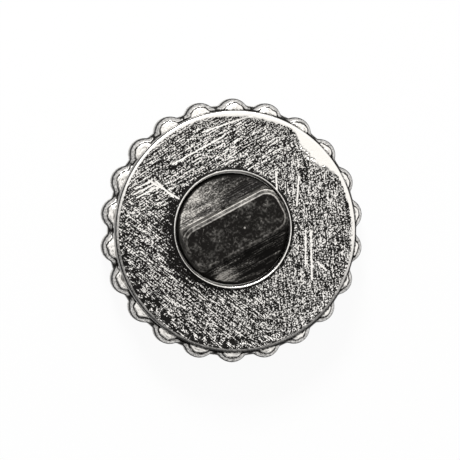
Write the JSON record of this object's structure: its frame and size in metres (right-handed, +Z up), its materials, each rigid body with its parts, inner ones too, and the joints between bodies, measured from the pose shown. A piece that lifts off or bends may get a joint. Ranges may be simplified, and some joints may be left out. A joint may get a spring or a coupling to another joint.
{
  "type": "rhinestone shank button",
  "caption": "Round dress button with a scalloped stone-set edge, a rough antique-silver back and a dark pressed-in tunnel shank.",
  "frame": {"origin": "on the table under the middle of the button, which lies on its stones", "axes": "+Z up through the button, from its front to its shank; X along the bar of the shank, Y along its thread tunnel"},
  "size_m": [0.025, 0.025, 0.0073],
  "materials": {
    "antique_silver": "antiqued silver plate on a zinc casting: rough blackened back field, polished rim and cups",
    "dark_plastic": "dark moulded plastic, finely lined shoulders and a rubbed flat top",
    "crystal": "clear cut crystal"
  },
  "bodies": {
    "root": {"casting": "antique_silver", "shank": "dark_plastic", "centre_stone": "crystal", "edge_stone_01": "crystal", "edge_stone_02": "crystal", "edge_stone_03": "crystal", "edge_stone_04": "crystal", "edge_stone_05": "crystal", "edge_stone_06": "crystal", "edge_stone_07": "crystal", "edge_stone_08": "crystal", "edge_stone_09": "crystal", "edge_stone_10": "crystal", "edge_stone_11": "crystal", "edge_stone_12": "crystal", "edge_stone_13": "crystal", "edge_stone_14": "crystal", "edge_stone_15": "crystal", "edge_stone_16": "crystal", "edge_stone_17": "crystal", "edge_stone_18": "crystal", "edge_stone_19": "crystal", "edge_stone_20": "crystal", "edge_stone_21": "crystal", "edge_stone_22": "crystal"}
  },
  "joints": []
}
